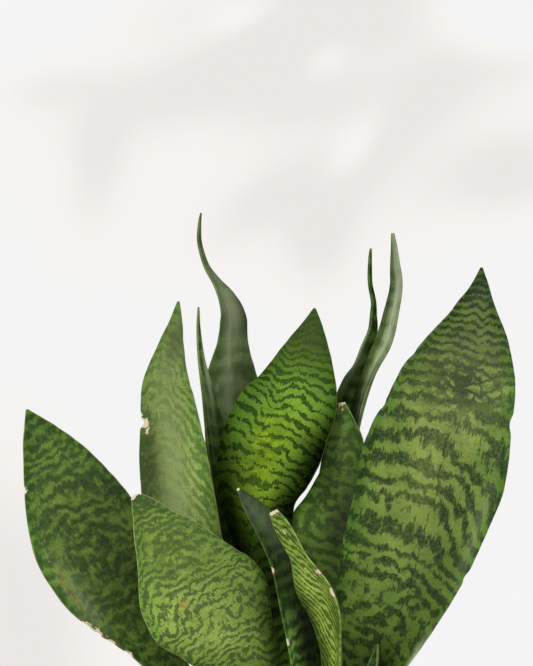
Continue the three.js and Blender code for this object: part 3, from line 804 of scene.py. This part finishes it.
def leaf_material(name, look):
    material, g = new_material(name, LeafGraph, look)
    fibres = g.patches(0.7, 45, 5)
    clouds = g.clouds(18)
    grain = g.patches(0.35, 3, 0)

    # The bands, with crisp outlines, a halo, and lighter blotches in them
    small = g.swing(g.rolling(3.0), look["wobble"])
    beyond = beyond_bands(g, look, small)
    lighter = g.ramp(g.patches(2.2, 1.7, 33, 2.0, 0.6), 0.32, 0.62, 1 - look["mottle"], 1.0)
    band = g.ramp(beyond, -look["soft"], look["soft"], 1.0, 0.0) * lighter
    outline = g.ramp(g.math("ABSOLUTE", beyond), 0.0, 0.05 + look["soft"] * 0.6, 1.0, 0.0)
    halo = g.ramp(beyond, 0.0, 0.35, 1.0, 0.0)
    keep = 1 - g.math("ADD", g.net * 0.8, g.faint, clamp=True)
    flecks = g.ramp(g.patches(5, 1.6, 9), 0.56, 0.68)

    # The green, with lengthwise streaks and slow changes, under the bands
    speckle = g.swing(g.patches(1.5, 1.3, 37, 1.0), look["speckle"])
    tone = g.swing(fibres, look["streaks"] * 0.6) + 1 + g.swing(clouds, 0.12) + speckle
    warm = g.math("ADD", g.warm, g.swing(clouds, 0.25), clamp=True)
    ground = g.blend(warm, rgb(look["light"]), rgb(look["warm"] or look["light"]))
    green = g.paint(
        g.blend(1.0, ground, g.vector(tone, tone, tone), "MULTIPLY"),
        (flecks * look["flecks"], look["dark"]),
        (halo * keep * look["halo"], look["dark"]),
        (band * keep * look["contrast"], look["dark"]),
        (outline * keep * look["outline"], look["line"]),
        (net_of_rings(g, look), look["line"]),
        (dark_vein(g, look), look["line"]))
    # Deeper green towards the margins, and the painted shade and painted light of the shade marks
    rim = g.ramp(g.edge, 1.0, 9.0, look["margin_dark"], 0.0)
    left = [g.math("POWER", SHADE, rim * of_rim + g.shade * of_shade)
            for of_rim, of_shade in zip(RIM_POWERS, SHADE_POWERS)]
    green = g.blend(1.0, green, g.vector(*left), "MULTIPLY")

    # The greyer back, waxy haze that is partly a painted sheen, the pale and reddish foot, stains,
    # the pale margin, and dried tissue with a brown border
    grey = tuple(0.55 * a + 0.45 * b for a, b in zip(look["light"], look["bloom"]))
    # Waxy haze that partly paints a sheen and highlights on the blade
    haze = g.bloom * g.ramp(fibres, 0.25, 0.75, 0.55, 1.0)
    blush = g.along + g.swing(clouds, 18)
    stain = g.stain + g.swing(small, 0.02)
    width, strength = look["margin"]
    margin = g.edge + g.swing(clouds, 0.5 * width)
    crisp = g.dry + g.swing(g.clouds(1.2), 0.35)
    green = g.paint(
        green,
        (g.ramp(g.side, 0.6, -0.6, 0.0, look["back_grey"]), grey),
        (g.math("MINIMUM", haze, 0.9), look["bloom"]),
        (g.ramp(g.along, 20, 75, 0.75, 0.0), FOOT_PALE),
        (g.ramp(blush, 22, 44, 0.5, 0.0), FOOT_BLUSH),
        (g.ramp(stain, 0.1, 0.9, 0.0, 0.6), STAIN),
        (g.ramp(margin, 0.5 * width, 1.3 * width, strength, 0.0), look["pale"]),
        (g.ramp(crisp, 0.28, 0.42), DRY_BORDER),
        (g.ramp(crisp, 0.48, 0.62), DRY))

    height = grain * 0.5 + fibres - g.dry * 0.6
    rough = g.swing(grain, 0.06) + look["roughness"] - band * 0.04
    rough = rough + g.ramp(crisp, 0.3, 0.6) * 0.35
    g.surface(green, rough, g.bump(height, 0.12 * MM, 0.6), shine=look["shine"])
    return material


def build_leaf(name):
    look = {**PLAIN_LOOK, **LOOKS[name]}
    rings = blade_rings(name)
    reach = margin_reach(look, rings)
    u, side, strips = blade_layout(rings, reach)
    points = blade_points(look, rings, u, side).reshape(-1, 3) * MM
    piece = mesh_object(name + "_blade", points, blade_faces(len(rings.along), strips))
    for key, values in blade_numbers(look, rings, u, side, reach).items():
        layer = piece.data.attributes.new(key, "FLOAT_VECTOR", "POINT")
        layer.data.foreach_set("vector", values.astype(np.float32).ravel())
    dress(piece, leaf_material(name + "_skin", look))
    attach(piece, "root")
    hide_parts(name)


for leaf_name in LEAVES:
    build_leaf(leaf_name)


# ---- Pot ----

POT_HEIGHT = 150
POT_RIM_RADIUS = 85
POT_BASE_RADIUS = 60
POT_WALL = 5
POT_FLOOR = 8
POT_EDGE = 4
POT_SEGMENTS = 160
DRAIN_RADIUS = 5
DRAIN_RING = 26
DRAIN_COUNT = 4
# The glaze thins between the first two heights and starts between the other two, in metres
GLAZE_THIN = (0.1478, 0.1500)
GLAZE_FOOT = (0.0042, 0.0050)
# Depth of the wall's turning marks
TURNING_MARK = 0.12


def pot_radius(height):
    return POT_BASE_RADIUS + (POT_RIM_RADIUS - POT_BASE_RADIUS) * height / POT_HEIGHT


def arc(radius, height, size, start, end, steps):
    """Points on part of a circle in a [radius, height] profile, by degrees."""
    turns = [math.radians(start + (end - start) * i / steps) for i in range(steps + 1)]
    return [(radius + size * math.cos(a), height + size * math.sin(a)) for a in turns]


def between(start, end, steps):
    """Points from start to end, without either."""
    return [tuple(a + (b - a) * i / steps for a, b in zip(start, end)) for i in range(1, steps)]


def lathe(profile, segments):
    """Points and faces of a solid turned from a profile that starts and ends on the axis."""
    turns = np.arange(segments) * math.tau / segments
    points = [(0, 0, profile[0][1])]
    for radius, height in profile[1:-1]:
        points += [(radius * math.cos(a), radius * math.sin(a), height) for a in turns]
    points.append((0, 0, profile[-1][1]))
    faces, rings, last = [], len(profile) - 2, len(points) - 1
    for i in range(segments):
        j = (i + 1) % segments
        faces.append((0, 1 + j, 1 + i))
        for ring in range(rings - 1):
            a, b = 1 + ring * segments, 1 + (ring + 1) * segments
            faces.append((a + i, a + j, b + j, b + i))
        top = 1 + (rings - 1) * segments
        faces.append((last, top + i, top + j))
    return np.array(points, float), faces


def pot_material():
    material, g = new_material("pot_glaze")
    place = g.object_place()
    _, _, z = g.split(place)
    cloud = g.noise(place, 22, 3.0)
    colour = g.blend(g.ramp(cloud, 0.3, 0.7), rgb((226, 220, 208)), rgb((236, 232, 222)))
    # Small iron specks, of two sizes
    for scale, start, end, strength in ((520, 0.10, 0.16, 0.5), (1300, 0.12, 0.2, 0.3)):
        speck = g.ramp(g.cells(place, scale), start, end, strength, 0.0)
        sparse = g.ramp(g.noise(place, scale / 4, 1.0), 0.55, 0.65)
        colour = g.blend(speck * sparse, colour, rgb((142, 112, 82)))
    # The glaze thins over the rim, and stops just above the foot
    thin = g.ramp(z + g.swing(cloud, 0.0012), *GLAZE_THIN, 0.0, 0.45)
    colour = g.blend(thin, colour, rgb((196, 172, 142)))
    bare = g.ramp(z + g.swing(cloud, 0.0008), *GLAZE_FOOT, 1.0, 0.0)
    clay = g.blend(g.noise(place, 700, 2.0), rgb((190, 158, 124)), rgb((208, 180, 148)))
    colour = g.blend(bare, colour, clay)
    turning = g.noise(g.vector(0.0, 0.0, z * 260))
    grain = g.noise(place, 900, 2.0)
    height = turning + cloud * 0.6 + grain * 0.12
    rough = g.swing(cloud, 0.08) + 0.42 + bare * 0.4 + grain * 0.05
    g.surface(colour, rough, g.bump(height, 0.35 * MM, 0.5), coat=0.12, coat_roughness=0.25)
    return material


def drill_drains(pot):
    """Cut the drain holes through the pot's floor."""
    drills = bmesh.new()
    for i in range(DRAIN_COUNT):
        turn = (i + 0.5) * math.tau / DRAIN_COUNT
        at = Vector((DRAIN_RING * math.cos(turn), DRAIN_RING * math.sin(turn), POT_FLOOR / 2)) * MM
        bmesh.ops.create_cone(
            drills, cap_ends=True, segments=32, radius1=DRAIN_RADIUS * MM,
            radius2=DRAIN_RADIUS * MM, depth=3 * POT_FLOOR * MM, matrix=Matrix.Translation(at))
    drill_mesh = bpy.data.meshes.new("drain_drills")
    drills.to_mesh(drill_mesh)
    drills.free()
    cutter = bpy.data.objects.new("drain_drills", drill_mesh)
    bpy.context.scene.collection.objects.link(cutter)
    cut = pot.modifiers.new("drains", "BOOLEAN")
    cut.object = cutter
    cut.solver = "EXACT"
    bpy.context.view_layer.update()
    seen = pot.evaluated_get(bpy.context.evaluated_depsgraph_get())
    shaped = bpy.data.meshes.new_from_object(seen)
    pot.modifiers.clear()
    pot.data = shaped
    bpy.data.objects.remove(cutter)


def build_pot():
    lip = POT_WALL / 2
    top = POT_HEIGHT - lip
    floor_radius = pot_radius(POT_FLOOR) - POT_WALL
    outer_bottom = arc(POT_BASE_RADIUS - POT_EDGE, POT_EDGE, POT_EDGE, -90, 0, 8)
    rim = arc(pot_radius(top) - lip, top, lip, 0, 180, 14)
    inner_bottom = arc(floor_radius - POT_EDGE, POT_FLOOR + POT_EDGE, POT_EDGE, 0, -90, 6)
    profile = [(0, 0), *between((0, 0), outer_bottom[0], 6), *outer_bottom]
    profile += between(outer_bottom[-1], rim[0], 24) + rim
    profile += between(rim[-1], inner_bottom[0], 16) + inner_bottom
    profile += between(inner_bottom[-1], (0, POT_FLOOR), 6) + [(0, POT_FLOOR)]
    points, faces = lathe(profile, POT_SEGMENTS)
    # Faint turning marks on the outer wall
    wall = (points[:, 2] > 8) & (points[:, 2] < POT_HEIGHT - 8)
    reach = np.hypot(points[:, 0], points[:, 1])
    mark = TURNING_MARK * np.sin(points[:, 2] / 3.1) * np.sin(points[:, 2] / 17 + 1)
    outer = wall & (reach > pot_radius(points[:, 2]) - 1)
    grow = np.where(outer, 1 + mark / np.maximum(reach, 1), 1)
    points[:, :2] *= grow[:, None]
    pot = mesh_object("pot_body", points * MM, faces)
    drill_drains(pot)
    flat = [abs(face.normal.z) > 0.999 for face in pot.data.polygons]
    pot.data.polygons.foreach_set("use_smooth", [not level for level in flat])
    pot.data.update()
    dress(pot, pot_material())
    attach(pot, "root")
    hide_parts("pot")


build_pot()

# ---- Soil ----

SOIL_TOP = 135
SOIL_DROP = 2
SOIL_SEGMENTS = 150
SOIL_RINGS = 46
GAP = 0.3


def soil_height(x, y):
    """Height of the soil's top, in mm."""
    out = np.hypot(x, y) / pot_radius(SOIL_TOP)
    level = SOIL_TOP - SOIL_DROP * np.clip((out - 0.6) / 0.4, 0, 1) ** 2
    lumps = 0.55 * ripple(x / 9, y / 9, 3.0) + 0.35 * ripple(x / 3.5, y / 3.5, 4.0)
    return level + (lumps + 0.2 * ripple(x / 1.6, y / 1.6, 5.0)) * np.clip((1 - out) / 0.05, 0, 1)


def soil_material(name, dark, light, grain):
    """Crumbly earth or bark, between two colours, with a grain of this many to the metre."""
    material, g = new_material(name)
    place = g.object_place()
    coarse = g.noise(place, grain / 4, 3.0, 0.6)
    fine = g.noise(place, grain, 4.0, 0.65)
    colour = g.blend(g.ramp(coarse * 0.5 + fine * 0.5, 0.35, 0.68), rgb(dark), rgb(light))
    damp = g.ramp(g.noise(place, 28, 2.0), 0.45, 0.6, 0.0, 0.4)
    colour = g.blend(damp, colour, rgb(tuple(0.6 * value for value in dark)))
    rough = g.swing(fine, 0.06) + 0.9 - damp * 0.4
    g.surface(colour, rough, g.bump(fine + coarse, 0.8 * MM, 0.8), shine=0.3)
    return material


def build_soil():
    bottom = POT_FLOOR + GAP
    wall_gap = POT_WALL + GAP
    edge_radius = pot_radius(SOIL_TOP - SOIL_DROP) - wall_gap
    corner = arc(pot_radius(bottom) - wall_gap - POT_EDGE, bottom + POT_EDGE, POT_EDGE, -90, 0, 4)
    top_edge = (edge_radius, SOIL_TOP - SOIL_DROP)
    surface = [(edge_radius * (1 - i / SOIL_RINGS), SOIL_TOP) for i in range(1, SOIL_RINGS)]
    profile = [(0, bottom), *corner, *between(corner[-1], top_edge, 8)]
    profile += [top_edge, *surface, (0, SOIL_TOP)]
    points, faces = lathe(profile, SOIL_SEGMENTS)
    first_top = 1 + SOIL_SEGMENTS * (len(profile) - 2 - len(surface))
    top = points[first_top:]
    top[:, 2] = soil_height(top[:, 0], top[:, 1])
    soil = mesh_object("soil_bed", points * MM, faces)
    dress(soil, soil_material("soil_earth", (34, 24, 17), (84, 62, 44), 900))
    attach(soil, "root")
    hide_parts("soil")


build_soil()

# Loose bits that lie on the soil: how many, their least and greatest size in mm, how flat and how
# long they are, and their material
BITS = {
    "soil_crumbs": (760, (1.0, 3.4), 0.75, 1.2, ((40, 28, 20), (92, 68, 48), 1400)),
    "bark_chips": (120, (3.0, 7.5), 0.35, 1.9, ((74, 48, 30), (142, 102, 68), 900)),
    "perlite_bits": (150, (1.2, 3.2), 0.8, 1.2, ((196, 190, 178), (238, 234, 224), 1200)),
}


def rounded_block():
    """Points and faces of a small ball, as arrays."""
    ball = bmesh.new()
    bmesh.ops.create_icosphere(ball, subdivisions=2, radius=1.0)
    points = np.array([vertex.co[:] for vertex in ball.verts])
    faces = np.array([[vertex.index for vertex in face.verts] for face in ball.faces])
    ball.free()
    return points, faces


def in_a_leaf(x, y):
    """True where a leaf stands in the soil."""
    for rows in LEAVES.values():
        centre_x, centre_y, _, width, _, _ = rows[1]
        if math.hypot(x - centre_x, y - centre_y) < width * 0.55:
            return True
    return False


def build_bits(name, count, sizes, flatness, length, colours, seed):
    draw = random.Random(seed)
    ball, ball_faces = rounded_block()
    points, faces = [], []
    limit = pot_radius(SOIL_TOP) - POT_WALL - sizes[1] * 0.9
    while len(points) < count:
        radius, turn = limit * math.sqrt(draw.random()), draw.uniform(0, math.tau)
        x, y = radius * math.cos(turn), radius * math.sin(turn)
        size = sizes[0] + (sizes[1] - sizes[0]) * draw.random() ** 2
        spin = [draw.uniform(-0.35, 0.35), draw.uniform(-0.35, 0.35), draw.uniform(0, math.tau)]
        lump = draw.uniform(0, 1000)
        if in_a_leaf(x, y):
            continue
        # Facets and dents, so that no two bits are alike
        dents = ripple(ball[:, 0] * 1.6 + lump, ball[:, 1] * 1.6 + 2 * ball[:, 2], seed, 5)
        shape = ball * (1 + 0.22 * dents)[:, None]
        shape = np.sign(shape) * np.abs(shape) ** 0.8
        shape = shape * np.array([length, 1.0, flatness]) * size / 2
        for axis, angle in zip("XYZ", spin):
            shape = shape @ np.array(Matrix.Rotation(angle, 3, axis)).T
        height = float(soil_height(np.array([x]), np.array([y]))[0])
        shape = shape + np.array([x, y, height + size * flatness * 0.12])
        faces += [tuple(map(int, face)) for face in ball_faces + len(points) * len(ball)]
        points.append(shape)
    piece = mesh_object(name, np.concatenate(points) * MM, faces)
    dress(piece, soil_material(name + "_skin", *colours))
    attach(piece, "root")


for number, (bits_name, (count, sizes, flatness, length, colours)) in enumerate(BITS.items()):
    build_bits(bits_name, count, sizes, flatness, length, colours, 17 + number)

# ---- Rhizome, which the soil hides ----


def rhizome_material():
    material, g = new_material("rhizome_skin")
    place = g.object_place()
    x, y, z = g.split(place)
    rings = g.noise(g.vector(x * 60, y * 60, z * 420))
    cloud = g.noise(place, 90, 3.0)
    colour = g.blend(g.ramp(rings, 0.35, 0.65), rgb((196, 132, 62)), rgb((222, 170, 98)))
    colour = g.blend(g.ramp(cloud, 0.5, 0.75, 0.0, 0.6), colour, rgb((150, 92, 46)))
    rough = g.swing(cloud, 0.12) + 0.6
    g.surface(colour, rough, g.bump(rings, 0.5 * MM, 0.7))
    return material


dress(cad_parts["rhizome"], rhizome_material())

# ---- Floor, background and light ----

FLOOR_RADIUS = 1.5
FLOOR_SEGMENTS = 96
FLOOR_DROP = 0.2 * MM
FLOOR_PAINT = (236, 234, 231)
BACKGROUND = (244, 244, 244)
BACKGROUND_TINT = (247, 243, 240)
BACKGROUND_HAZE = (235, 231, 228)
WORLD_LIGHT = 0.35
# The wall's lowest soft shadow goes on over the floor's far part: its middle (x, y), its width and
# its depth in metres, its turn in degrees and its strength
FLOOR_SHADOW = (-0.363, 1.45, 0.131, 0.5, 0, 1.19)
# The floor turns from paint to background between these distances from the pot, in metres
FLOOR_FADE = (0.35, 1.2)


def hazed(g, total):
    """The background's colour under a soft shadow of this strength."""
    tint = g.blend(g.ramp(total, 0.03, 0.25), rgb(BACKGROUND), rgb(BACKGROUND_TINT))
    return g.blend(g.ramp(total, 0.05, 1.05), tint, rgb(BACKGROUND_HAZE))


def build_floor():
    turns = [math.tau * i / FLOOR_SEGMENTS for i in range(FLOOR_SEGMENTS)]
    points = [(FLOOR_RADIUS * math.cos(a), FLOOR_RADIUS * math.sin(a), 0) for a in turns]
    floor = mesh_object("floor", points, [tuple(range(FLOOR_SEGMENTS))])
    floor.location.z = -FLOOR_DROP
    material, g = new_material("floor_paint")
    x, y, _ = g.split(g.object_place())
    away = g.math("SQRT", x * x + y * y)
    paint = g.value("ShaderNodeBsdfDiffuse", rgb(FLOOR_PAINT))
    glow = g.value("ShaderNodeEmission", hazed(g, g.soft_spot(x, y, *FLOOR_SHADOW)))
    mix = g.value("ShaderNodeMixShader", g.ramp(away, *FLOOR_FADE), paint, glow)
    g.node("ShaderNodeOutputMaterial", mix)
    dress(floor, material)
    floor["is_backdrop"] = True


# Soft shadows on the wall behind, as the camera sees them: each one's place (right, up) from the
# view's middle, length, width, turn in degrees, and strength, which is below 0 for a light patch.
# Lengths are in mm at the pot's axis.
HAZE = (
    (-46, 149, 64, 22, 18, 0.85), (20, 184, 50, 28, 35, 0.85), (66, 193, 38, 28, 0, 0.75),
    (-128, 146, 30, 13, 8, 0.50), (-101, 104, 36, 17, 80, 0.70), (30, 140, 42, 18, 15, 0.65),
    (-3, 78, 38, 17, 38, 0.70), (31, 62, 34, 21, 90, 0.80), (72, 116, 62, 21, 52, 0.85),
    (108, 143, 28, 20, 30, 0.32), (138, 157, 36, 11, 5, 0.35), (145, 95, 38, 21, 12, 0.90),
    (20, 122, 180, 92, 15, 0.25), (35, 165, 18, 13, 45, -0.60), (-19, 189, 20, 9, 20, -0.45),
    (54, 112, 28, 11, 52, -0.70), (140, 126, 22, 10, 10, -0.15), (131, 190, 30, 18, 0, -0.45),
    (-166, -184, 60, 90, 0, 1.30), (167, -4, 15, 36, 0, 0.25), (-50, 192, 36, 16, 10, 0.30),
    (108, 100, 62, 20, 48, 0.20), (150, 126, 26, 24, 0, 0.12), (-48, 104, 26, 14, 15, -0.08),
)


def build_world():
    world = bpy.data.worlds.new("studio")
    world.use_nodes = True
    bpy.context.scene.world = world
    g = Graph(world.node_tree)
    x, y, z = g.split(g.value("ShaderNodeTexCoord", output="Generated"))
    ahead = g.math("MAXIMUM", y, 0.1)
    right = g.math("DIVIDE", x, ahead) * CAMERA_DISTANCE
    up = g.math("DIVIDE", z, ahead) * CAMERA_DISTANCE
    spots = [g.soft_spot(right, up, *(n * MM for n in lengths), turn, strength)
             for *lengths, turn, strength in HAZE]
    shown = g.value("ShaderNodeBackground", hazed(g, sum(spots)))
    lit = g.value("ShaderNodeBackground", (1.0, 1.0, 1.0, 1.0), WORLD_LIGHT)
    seen = g.value("ShaderNodeLightPath", output="Is Camera Ray")
    g.node("ShaderNodeOutputWorld", g.value("ShaderNodeMixShader", seen, lit, shown))


# Soft lamps: place, the size of their square in metres, and power in watts
LAMPS = {
    "key_light": ((-1.4, -1.4, 1.6), 1.1, 46.0),
    "fill_light": ((1.6, -1.3, 0.8), 1.4, 12.0),
    "back_light": ((0.6, 1.6, 1.5), 1.4, 14.0),
}


def build_lamps():
    aim = Vector((0.0, 0.0, 0.3))
    for name, (place, size, power) in LAMPS.items():
        lamp = bpy.data.lights.new(name, "AREA")
        lamp.size = size
        lamp.energy = power
        ob = bpy.data.objects.new(name, lamp)
        ob.location = place
        ob.rotation_euler = (aim - Vector(place)).to_track_quat("-Z", "Y").to_euler()
        ob.visible_camera = False
        bpy.context.scene.collection.objects.link(ob)


build_floor()
build_world()
build_lamps()
bpy.context.scene.view_settings.view_transform = "Standard"
bpy.context.scene.view_settings.look = "None"

bpy.context.view_layer.update()
sizes = {"cad": cad_box, "visual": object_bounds()}
